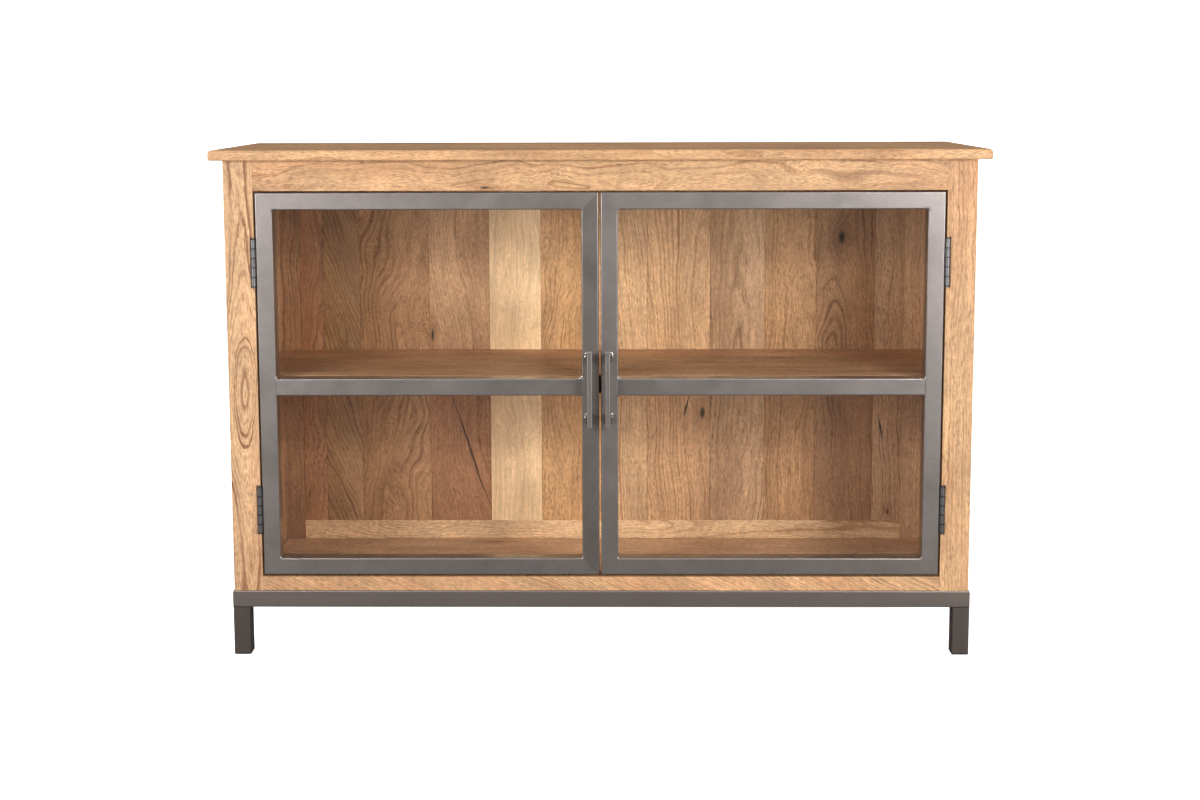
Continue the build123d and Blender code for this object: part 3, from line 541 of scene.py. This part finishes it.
# -------------------------------------------------- floor, shelf and cleats
# Three long boards drop into the steel ring as the cabinet's floor. One solid shelf lies on two wooden
# cleats behind the doors' middle rails. All are mango, sanded and lacquered on the upper side.
FLOOR_TONES = ((208, 166, 130), (150, 109, 80), (184, 140, 107))
SHELF_TONES = ((197, 150, 112), (141, 98, 69), (173, 122, 89))
STAVES_DEEP = 3
floor_low, floor_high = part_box("floor_boards")
finish_node("floor_boards", mango(
    "mango_floor", "YZX", (0, floor_low.y, floor_high.z), FLOOR_TONES, seed=171.0, pith_side=0.03,
    pith_depth=0.05, ring_width=0.009, ring_strength=0.45, ripple=0.3,
    stave_width=(floor_high.y - floor_low.y) / STAVES_DEEP, knot_across=0.29, knot_along=-0.205,
    knot_size=0.004, knot_stretch=4.0))
shelf_low, shelf_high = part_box("shelf")
finish_node("shelf", mango(
    "mango_shelf", "YZX", (0, shelf_low.y, shelf_high.z), SHELF_TONES, seed=187.0, pith_side=0.03,
    pith_depth=0.04, pith_lean=0.04, ring_width=0.008, ring_strength=0.5, ripple=0.3,
    stave_width=(shelf_high.y - shelf_low.y) / STAVES_DEEP, check_across=0.15, check_along=-0.35,
    check_slope=0.06, check_length=0.12, knot_across=0.19, knot_along=0.335, knot_size=0.005,
    knot_stretch=7.0))
finish_node("shelf_cleats", mango(
    "mango_cleats", "XZY", middle_of("shelf_cleats"), SHELF_TONES, seed=193.0))

# -------------------------------------------------- magnetic catch
# A small black plastic catch is fixed to the shelf's front edge. Its two plated magnets pull on the
# backs of the steel meeting stiles and hold both doors shut.


def make_moulded_plastic():
    """Black moulded plastic with a fine spark-eroded texture."""
    material, tree, shader = new_material("black_moulded_plastic")
    spot = node(tree, "ShaderNodeTexCoord").outputs["Object"]
    spark = node(tree, "ShaderNodeTexNoise", {"Vector": spot, "Scale": 1400.0}).outputs["Fac"]
    rub = node(tree, "ShaderNodeTexNoise", {"Vector": spot, "Scale": 60.0, "Detail": 3.0}).outputs["Fac"]
    colour = blend_colours(tree, remap(tree, rub, 0.4, 0.7), paint(22, 21, 20), paint(44, 42, 40))
    relief = node(tree, "ShaderNodeBump", {"Height": spark, "Strength": 0.35, "Distance": 0.2 * MM})
    tree.links.new(colour, shader.inputs["Base Color"])
    tree.links.new(remap(tree, rub, 0.3, 0.7, 0.5, 0.68), shader.inputs["Roughness"])
    tree.links.new(relief.outputs[0], shader.inputs["Normal"])
    return material


moulded_plastic = make_moulded_plastic()
finish_node("catch_housing", moulded_plastic)


def make_satin_steel():
    """The node group for lacquered mild steel: mill tone, cloudy smears, grinding lines and specks."""
    tree, given, result = group_with("satin_steel", [
        ("Place", "NodeSocketVector", None),
        ("Seed", "NodeSocketFloat", 0.0),
        ("Grind Stretch", "NodeSocketVector", (1.0, 1.0, 1.0)),
        ("Cloud", "NodeSocketFloat", 0.5),
        ("Speck", "NodeSocketFloat", 0.5),
        ("Base Roughness", "NodeSocketFloat", 0.4),
        ("Bright Steel", "NodeSocketColor", None),
        ("Dull Steel", "NodeSocketColor", None),
    ], [("Color", "NodeSocketColor"), ("Roughness", "NodeSocketFloat"), ("Height", "NodeSocketFloat")])

    def noise(scale, detail, vector=given["Place"]):
        """Noise that differs from one piece of steel to the next."""
        inputs = {"Vector": vector, "W": given["Seed"], "Scale": scale, "Detail": detail}
        return node(tree, "ShaderNodeTexNoise", inputs, noise_dimensions="4D").outputs["Fac"]

    stretched = vectors(tree, "MULTIPLY", given["Place"], given["Grind Stretch"])
    cloud = noise(14.0, 4.0)
    smear = noise(55.0, 3.0, stretched)
    grind = noise(900.0, 2.0, stretched)
    speck = noise(620.0, 1.0)
    tone = maths(tree, "MULTIPLY", remap(tree, cloud, 0.3, 0.7), given["Cloud"])
    tone = maths(tree, "MULTIPLY_ADD", remap(tree, smear, 0.4, 0.7), 0.18, tone, clamp=True)
    mottled = blend_colours(tree, tone, given["Bright Steel"], given["Dull Steel"])
    speck_mask = maths(tree, "MULTIPLY", remap(tree, speck, 0.58, 0.72), given["Speck"])
    speckled = blend_colours(tree, maths(tree, "MULTIPLY", speck_mask, 0.45), mottled, paint(42, 38, 36))
    tree.links.new(speckled, result["Color"])
    gloss = maths(tree, "ADD", given["Base Roughness"], remap(tree, cloud, 0.3, 0.7, -0.04, 0.07))
    gloss = maths(tree, "MULTIPLY_ADD", speck_mask, 0.12, gloss)
    tree.links.new(gloss, result["Roughness"])
    relief = maths(tree, "MULTIPLY_ADD", grind, 0.5, maths(tree, "MULTIPLY", speck, 0.5))
    tree.links.new(relief, result["Height"])
    return tree


satin_steel = make_satin_steel()


def steel(name, bright, dull, roughness, seed, stretch=(1.0, 1.0, 1.0), cloud=0.6, speck=0.5, relief=0.25,
          coat=0.5, metallic=0.9):
    """A lacquered steel. Stretch is small along the direction that it was ground in."""
    material, tree, shader = new_material(name)
    spot = node(tree, "ShaderNodeTexCoord").outputs["Object"]
    finish = node(tree, "ShaderNodeGroup", node_tree=satin_steel)
    tree.links.new(spot, finish.inputs["Place"])
    values = {"Seed": seed, "Grind Stretch": stretch, "Cloud": cloud, "Speck": speck,
              "Base Roughness": roughness, "Bright Steel": bright, "Dull Steel": dull}
    for key, value in values.items():
        finish.inputs[key].default_value = value
    bump = node(tree, "ShaderNodeBump", {"Height": finish.outputs["Height"], "Strength": relief,
                                         "Distance": 0.2 * MM})
    tree.links.new(finish.outputs["Color"], shader.inputs["Base Color"])
    tree.links.new(finish.outputs["Roughness"], shader.inputs["Roughness"])
    tree.links.new(bump.outputs[0], shader.inputs["Normal"])
    shader.inputs["Metallic"].default_value = metallic
    shader.inputs["Coat Weight"].default_value = coat
    shader.inputs["Coat Roughness"].default_value = 0.16
    return material


finish_node("catch_magnets", steel(
    "plated_magnet", paint(176, 176, 178), paint(140, 140, 142), 0.3, 1.0, speck=0.1))

# -------------------------------------------------- steel base
# The base is a ring of 30 mm square steel tube, mitred and welded at its corners, on four short legs of
# the same tube. Welds are ground flush and the steel is lacquered to a satin gunmetal.
ALONG_X = (0.03, 1, 1)
ALONG_Y = (1, 0.03, 1)
ALONG_Z = (1, 1, 0.03)
BASE_TONES = (paint(140, 129, 122), paint(114, 105, 99))
# Painted shade: the legs get a darker copy of the base steel, for the dim light under the cabinet.
SHADED_LEG_TONES = (paint(114, 103, 96), paint(92, 84, 78))
base_steel_x = steel("base_steel_across", *BASE_TONES, 0.42, 3.0, ALONG_X)
base_steel_y = steel("base_steel_deep", *BASE_TONES, 0.42, 4.0, ALONG_Y)
base_steel_z = steel("base_steel_upright", *SHADED_LEG_TONES, 0.42, 5.0, ALONG_Z)
for rail in ("base_front_rail", "base_back_rail"):
    finish_node(rail, base_steel_x)
for rail in ("base_left_rail", "base_right_rail", "base_cross_bars"):
    finish_node(rail, base_steel_y)
for leg in ("front_left_leg", "front_right_leg", "back_left_leg", "back_right_leg"):
    finish_node(leg, base_steel_z)
finish_node("foot_glides", moulded_plastic)
zinc_steel = steel("zinc_screw", paint(170, 168, 160), paint(130, 126, 118), 0.35, 21.0)
finish_node("floor_screws", zinc_steel)

# -------------------------------------------------- door frames
# Each door is a frame of 30 mm square steel tube: two stiles and two rails mitred at the corners, and a
# middle rail butted between the stiles. The welds are filled, ground flush and lacquered over. The left
# meeting stile is given a darker copy of the same steel.
DOOR_TONES = (paint(160, 152, 148), paint(134, 126, 122))
door_steel = steel("door_steel", *DOOR_TONES, 0.34, 31.0)
darker_steel = steel("darker_door_steel", paint(147, 139, 134), paint(122, 114, 109), 0.34, 33.0)
DARKER_TUBE = ("left", "meeting_stile")
bead_steel = steel("bead_steel", *DOOR_TONES, 0.45, 47.0)
for side in ("left", "right"):
    for tube in ("hinge_stile", "meeting_stile", "top_rail", "middle_rail", "bottom_rail"):
        finish_node(f"{side}_door_{tube}", darker_steel if (side, tube) == DARKER_TUBE else door_steel)
    finish_node(f"{side}_door_glass_beads", bead_steel)

# -------------------------------------------------- weld fillets in the door windows
# Where two tubes meet at a window's corner, the weld metal leaves a small hollow fillet. It is ground
# flush with the tubes' faces and lacquered with them, so the four windows have rounded corners.
FILLET_RADIUS = 4.2 * MM
TUBE_ROUND = 2.2 * MM
PROUD = 0.03 * MM
FILLET_TUCK = 3.4 * MM
FILLET_TURN_STEPS = 8
ROUND_STEPS = 4
SHARP_FROM = math.radians(35)


def fillet_section(front, back):
    """The weld's section: how far it stands from the hollow's edge, and its depth, in order."""
    section = [(0.0, back)]
    for step in range(ROUND_STEPS + 1):
        angle = math.pi / 2 * step / ROUND_STEPS
        section.append((TUBE_ROUND * (1 - math.cos(angle)), front + TUBE_ROUND * (1 - math.sin(angle))))
    reach = FILLET_RADIUS * (math.sqrt(2) - 1) + FILLET_TUCK
    section.append((reach, front))
    section.append((reach, back))
    return section


def add_fillet(work, corner_x, corner_z, side_x, side_z, front, back):
    """One fillet in the window corner at (corner_x, corner_z). The window lies towards the two sides."""
    centre_x = corner_x + side_x * FILLET_RADIUS
    centre_z = corner_z + side_z * FILLET_RADIUS
    rings = []
    for turn in range(FILLET_TURN_STEPS + 1):
        angle = math.pi / 2 * turn / FILLET_TURN_STEPS
        ring = []
        for reach, depth in fillet_section(front, back):
            far = FILLET_RADIUS + reach
            ring.append(work.verts.new((centre_x - side_x * far * math.cos(angle), depth,
                                        centre_z - side_z * far * math.sin(angle))))
        rings.append(ring)
    count = len(rings[0])
    for one, other in zip(rings, rings[1:]):
        for i in range(count):
            work.faces.new((one[i], one[(i + 1) % count], other[(i + 1) % count], other[i]))
    work.faces.new(rings[0])
    work.faces.new(rings[-1])


def window_corners(side):
    """The corners of a door's two windows, each with the ways that its window lies."""
    outer, inner = f"{side}_door_hinge_stile", f"{side}_door_meeting_stile"
    if side == "right":
        outer, inner = inner, outer
    left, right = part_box(outer)[1].x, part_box(inner)[0].x
    middle_low, middle_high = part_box(f"{side}_door_middle_rail")
    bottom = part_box(f"{side}_door_bottom_rail")[1].z
    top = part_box(f"{side}_door_top_rail")[0].z
    for low, high in ((bottom, middle_low.z), (middle_high.z, top)):
        for x, side_x in ((left, 1), (right, -1)):
            for z, side_z in ((low, 1), (high, -1)):
                yield x, z, side_x, side_z


for side in ("left", "right"):
    tube_low, tube_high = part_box(f"{side}_door_top_rail")
    work = bmesh.new()
    for x, z, side_x, side_z in window_corners(side):
        add_fillet(work, x, z, side_x, side_z, tube_low.y - PROUD, tube_high.y - PROUD)
    bmesh.ops.recalc_face_normals(work, faces=work.faces)
    mesh = bpy.data.meshes.new(f"{side}_window_weld_fillets")
    work.to_mesh(mesh)
    work.free()
    mesh.shade_smooth()
    mesh.set_sharp_from_angle(angle=SHARP_FROM)
    mesh.materials.append(door_steel)
    fillets = new_object(mesh.name, mesh)
    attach(fillets, f"{side}_door")

# -------------------------------------------------- glass
# Four panes of clear 4 mm float glass lie against the backs of the door tubes. Their faces are clean,
# with a faint green in the thickness of the glass.


def make_clear_glass():
    """Clear float glass that lets light through to what stands behind it."""
    material, tree, shader = new_material("clear_float_glass")
    shader.inputs["Base Color"].default_value = (0.97, 0.985, 0.975, 1.0)
    shader.inputs["Roughness"].default_value = 0.0
    shader.inputs["IOR"].default_value = 1.45
    shader.inputs["Transmission Weight"].default_value = 1.0
    # Light and mirrored rays pass straight through. A ray that the glass has already bent stays bent.
    path = node(tree, "ShaderNodeLightPath").outputs
    passing = maths(tree, "MAXIMUM", path["Is Shadow Ray"], path["Is Diffuse Ray"])
    reflected = maths(tree, "SUBTRACT", path["Is Glossy Ray"], path["Is Transmission Ray"], clamp=True)
    passing = maths(tree, "MAXIMUM", passing, reflected)
    clear = node(tree, "ShaderNodeBsdfTransparent", {"Color": (0.95, 0.97, 0.955, 1.0)}).outputs[0]
    both = node(tree, "ShaderNodeMixShader", {0: passing, 1: shader.outputs[0], 2: clear}).outputs[0]
    output = next(n for n in tree.nodes if n.type == "OUTPUT_MATERIAL")
    tree.links.new(both, output.inputs["Surface"])
    return material


clear_glass = make_clear_glass()
for side in ("left", "right"):
    for place in ("upper", "lower"):
        finish_node(f"{side}_door_{place}_glass", clear_glass)

# -------------------------------------------------- handles
# Each handle is a 10 mm square steel bar, 135 mm long, on two short posts welded to the meeting stile.
bar_steel = steel("handle_bar_steel", paint(158, 150, 145), paint(122, 114, 110), 0.36, 61.0, ALONG_Z,
                  speck=0.35)
# Painted shade: the posts get a darker copy of the bar's steel, for the deep shade behind the bars.
shaded_post_steel = steel("handle_post_steel", paint(120, 113, 108), paint(92, 86, 82), 0.45, 65.0)
for side in ("left", "right"):
    finish_node(f"{side}_door_handle_bar", bar_steel)
    finish_node(f"{side}_door_handle_posts", shaded_post_steel)

# -------------------------------------------------- weld beads at the handles
# Each handle post is fixed by a short run of uneven, overlapping weld droplets round its outer side.
# One more run lies in the window's corner beside the handle. They are left bright and unground.
WELD_SEED = 17
BEAD_SIZE = 1.9 * MM
BEAD_STEP = 1.5 * MM
SMALLEST_BEAD = 0.65            # as parts of the bead size
LARGEST_BEAD = 1.25
BEAD_PROUD = 0.2 * MM
POST_TALL = 13 * MM
RUN_ACROSS = 5 * MM
RUN_DOWN = 7 * MM
CORNER_RUN = 3.4 * MM


def make_weld_run():
    """Flattened droplets of random size along an open run of line. The start mesh is that line."""
    tree, given, result = group_with("weld_run", [
        ("Geometry", "NodeSocketGeometry", None),
        ("Bead Size", "NodeSocketFloat", 0.002),
        ("Bead Step", "NodeSocketFloat", 0.0015),
        ("Flatness", "NodeSocketFloat", 0.6),
        ("Seed", "NodeSocketInt", 0),
        ("Material", "NodeSocketMaterial", None),
    ], MADE_GEOMETRY, "GeometryNodeTree")
    line = node(tree, "GeometryNodeMeshToCurve", {"Mesh": given["Geometry"]}).outputs[0]
    spots = node(tree, "GeometryNodeResampleCurve", {"Curve": line, "Length": given["Bead Step"]},
                 mode="LENGTH").outputs[0]
    points = node(tree, "GeometryNodeCurveToPoints", {"Curve": spots}, mode="EVALUATED").outputs[0]
    droplet = node(tree, "GeometryNodeMeshIcoSphere", {"Radius": given["Bead Size"],
                                                      "Subdivisions": 3}).outputs[0]
    draw = tree.nodes.new("FunctionNodeRandomValue")
    draw.data_type = "FLOAT"
    draw_sockets = {socket.identifier: socket for socket in draw.inputs}
    draw_sockets["Min_001"].default_value = SMALLEST_BEAD
    draw_sockets["Max_001"].default_value = LARGEST_BEAD
    tree.links.new(given["Seed"], draw_sockets["Seed"])
    drawn = next(socket for socket in draw.outputs if socket.identifier == "Value_001")
    flat = node(tree, "ShaderNodeMath", {0: drawn, 1: given["Flatness"]}, operation="MULTIPLY").outputs[0]
    scale = node(tree, "ShaderNodeCombineXYZ", {"X": drawn, "Y": flat, "Z": drawn}).outputs[0]
    beads = node(tree, "GeometryNodeInstanceOnPoints", {"Points": points, "Instance": droplet,
                                                       "Scale": scale}).outputs[0]
    real = node(tree, "GeometryNodeRealizeInstances", {"Geometry": beads}).outputs[0]
    smooth = node(tree, "GeometryNodeSetShadeSmooth", {"Geometry": real}).outputs[0]
    made = node(tree, "GeometryNodeSetMaterial",
                {"Geometry": smooth, "Material": given["Material"]}).outputs[0]
    tree.links.new(made, result["Geometry"])
    return tree


weld_run = make_weld_run()
weld_steel = steel("bright_weld_steel", paint(214, 212, 210), paint(160, 154, 150), 0.26, 67.0,
                   cloud=0.8, speck=0.7, relief=0.6, coat=0.0, metallic=1.0)
for number, (side, outward) in enumerate((("left", -1), ("right", 1))):
    post_low, post_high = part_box(f"{side}_door_handle_posts")
    stile_low, stile_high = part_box(f"{side}_door_meeting_stile")
    post_x = post_low.x if outward < 0 else post_high.x
    stile_x = stile_low.x if outward < 0 else stile_high.x
    rail_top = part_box(f"{side}_door_middle_rail")[1].z
    runs = [((post_x - outward * RUN_ACROSS, top + 0.3 * MM), (post_x + outward * 0.4 * MM, top - 0.2 * MM),
             (post_x + outward * 0.6 * MM, top - RUN_DOWN))
            for top in (post_low.z + POST_TALL, post_high.z)]
    runs.append(((stile_x + outward * CORNER_RUN, rail_top + 0.3 * MM),
                 (stile_x + outward * 0.4 * MM, rail_top + CORNER_RUN - 0.1 * MM)))
    points, edges = [], []
    for run in runs:
        first = len(points)
        points += [(x, stile_low.y - BEAD_PROUD, z) for x, z in run]
        edges += [(i, i + 1) for i in range(first, len(points) - 1)]
    start = bpy.data.meshes.new("weld_line")
    start.from_pydata(points, edges, [])
    welds = made_by(weld_run, f"{side}_handle_weld_beads", start, bead_size=BEAD_SIZE,
                    bead_step=BEAD_STEP, seed=WELD_SEED + number, material=weld_steel)
    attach(welds, f"{side}_door")

# -------------------------------------------------- hinges
# Four steel butt hinges of five knuckles carry the doors. Each pin has a flat head at both ends, and
# the leaves are held by countersunk screws.
KNUCKLES = 5
SEAM_DARK_TO = 0.6 * MM
SEAM_FADES_BY = 1.4 * MM


def make_hinge_steel(place):
    """The hinges' steel at one height, with dirt and shadow in the seams between the knuckles."""
    low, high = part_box(f"left_{place}_hinge_frame_leaf")
    material = steel(f"{place}_hinge_steel", paint(132, 129, 130), paint(96, 93, 93), 0.34, 71.0,
                     (1, 1, 0.1))
    tree = material.node_tree
    spot = node(tree, "ShaderNodeTexCoord").outputs["Object"]
    height = node(tree, "ShaderNodeSeparateXYZ", {0: spot}).outputs["Z"]
    half_knuckle = (high.z - low.z) / KNUCKLES / 2
    from_seam = maths(tree, "PINGPONG", maths(tree, "SUBTRACT", height, low.z), half_knuckle)
    seam = remap(tree, from_seam, SEAM_DARK_TO, SEAM_FADES_BY, 0.85, 0.0)
    shader = next(n for n in tree.nodes if n.type == "BSDF_PRINCIPLED")
    plain = shader.inputs["Base Color"].links[0].from_socket
    tree.links.new(blend_colours(tree, seam, plain, paint(30, 28, 27)), shader.inputs["Base Color"])
    return material


for place in ("lower", "upper"):
    hinge_steel = make_hinge_steel(place)
    for side in ("left", "right"):
        for leaf in ("frame", "door"):
            finish_node(f"{side}_{place}_hinge_{leaf}_leaf", hinge_steel)
for side in ("left", "right"):
    finish_node(f"{side}_hinge_door_screws", zinc_steel)
finish_node("hinge_frame_screws", zinc_steel)
finish_node("hinge_pins", hinge_steel)

# -------------------------------------------------- studio: floor, light and camera
# A plain pale sweep stands under and behind the sideboard. Two large softboxes and two strips light it
# from the front, one more hangs over it and one lights its back. The camera stands a little above it.
SWEEP_HALF_WIDTH = 9.0
SWEEP_FRONT = -7.0
SWEEP_BACK = 3.2
SWEEP_BEND = 1.5
SWEEP_HEIGHT = 6.0
BEND_STEPS = 16


def ray_kinds(tree):
    """Whether a ray comes straight from a viewer, glass or no glass, and whether it was mirrored."""
    path = node(tree, "ShaderNodeLightPath").outputs
    looked_at = maths(tree, "MAXIMUM", path["Is Camera Ray"], path["Is Transmission Ray"])
    mirrored = maths(tree, "SUBTRACT", path["Is Glossy Ray"], looked_at, clamp=True)
    return looked_at, mirrored


def make_sweep():
    """The floor, carried up behind in one smooth bend."""
    profile = [(SWEEP_FRONT, 0.0)]
    for step in range(BEND_STEPS + 1):
        angle = math.pi / 2 * step / BEND_STEPS
        profile.append((SWEEP_BACK + SWEEP_BEND * math.sin(angle), SWEEP_BEND * (1 - math.cos(angle))))
    profile.append((SWEEP_BACK + SWEEP_BEND, SWEEP_HEIGHT))
    points = [(x, y, z) for y, z in profile for x in (-SWEEP_HALF_WIDTH, SWEEP_HALF_WIDTH)]
    faces = [(2 * i, 2 * i + 1, 2 * i + 3, 2 * i + 2) for i in range(len(profile) - 1)]
    mesh = bpy.data.meshes.new("studio_sweep")
    mesh.from_pydata(points, [], faces)
    mesh.shade_smooth()
    sweep = new_object("studio_sweep", mesh)
    material, tree, shader = new_material("pale_sweep")
    looked_at, mirrored = ray_kinds(tree)
    pale = blend_colours(tree, mirrored, (0.9, 0.9, 0.9, 1.0), (0.075, 0.072, 0.07, 1.0))
    tree.links.new(pale, shader.inputs["Base Color"])
    shader.inputs["Roughness"].default_value = 0.9
    shader.inputs["Specular IOR Level"].default_value = 0.1
    shader.inputs["Emission Color"].default_value = (1.0, 1.0, 1.0, 1.0)
    spot = node(tree, "ShaderNodeTexCoord").outputs["Object"]
    glow = remap(tree, length_of(tree, spot), 1.2, 3.6, 0.78, 1.0)
    tree.links.new(maths(tree, "MULTIPLY", looked_at, glow), shader.inputs["Emission Strength"])
    mesh.materials.append(material)
    return sweep


make_sweep()


def softbox(name, place, aim, size, power):
    """A rectangular area light at a place, turned to face its aim."""
    lamp = bpy.data.lights.new(name, "AREA")
    lamp.shape = "RECTANGLE"
    lamp.size, lamp.size_y = size
    lamp.energy = power
    light = new_object(name, lamp)
    light.location = place
    light.rotation_euler = (Vector(aim) - Vector(place)).to_track_quat("-Z", "Y").to_euler()
    light.visible_camera = False


softbox("softbox_left", (-2.3, -2.9, 1.25), (-0.2, 0, 0.5), (1.1, 1.5), 85)
softbox("softbox_right", (2.15, -2.95, 1.25), (0.2, 0, 0.5), (1.1, 1.5), 93)
softbox("softbox_top", (0, -0.3, 3.2), (0, 0, 0.9), (2.6, 1.4), 34)
softbox("strip_left", (-1.5, -3.05, 1.95), (-0.3, 0, 0.6), (0.9, 0.5), 16)
softbox("strip_right", (1.5, -3.05, 1.9), (0.3, 0, 0.6), (0.9, 0.5), 30)
softbox("softbox_back", (0, 2.9, 0.5), (0, 0, 0.45), (2.4, 0.6), 40)
world = bpy.data.worlds.new("studio")
world.use_nodes = True
sky_tree = world.node_tree
sky = sky_tree.nodes["Background"]
sky.inputs["Color"].default_value = (1.0, 1.0, 1.0, 1.0)
looked_at, mirrored = ray_kinds(sky_tree)
ambient = maths(sky_tree, "MULTIPLY_ADD", mirrored, -0.21, 0.36)
strength = maths(sky_tree, "MULTIPLY_ADD", looked_at, 0.68, ambient)
sky_tree.links.new(strength, sky.inputs["Strength"])
bpy.context.scene.world = world
bpy.context.scene.view_settings.view_transform = "Standard"

# The camera's place in metres, and its tilts in degrees.
CAMERA_PLACE = (0.0307, -3.019, 1.0073)
LOOK_DOWN = 6.69
ROLL = 0.15
TURN_LEFT = 0.59
lens = bpy.data.cameras.new("camera")
lens.sensor_width = 36.0
lens.lens = 49.45
lens.shift_y = -0.1
lens.clip_end = 60.0
camera = new_object("camera", lens)
camera.location = CAMERA_PLACE
camera.rotation_euler = (math.radians(90 - LOOK_DOWN), math.radians(ROLL), math.radians(TURN_LEFT))
bpy.context.scene.camera = camera
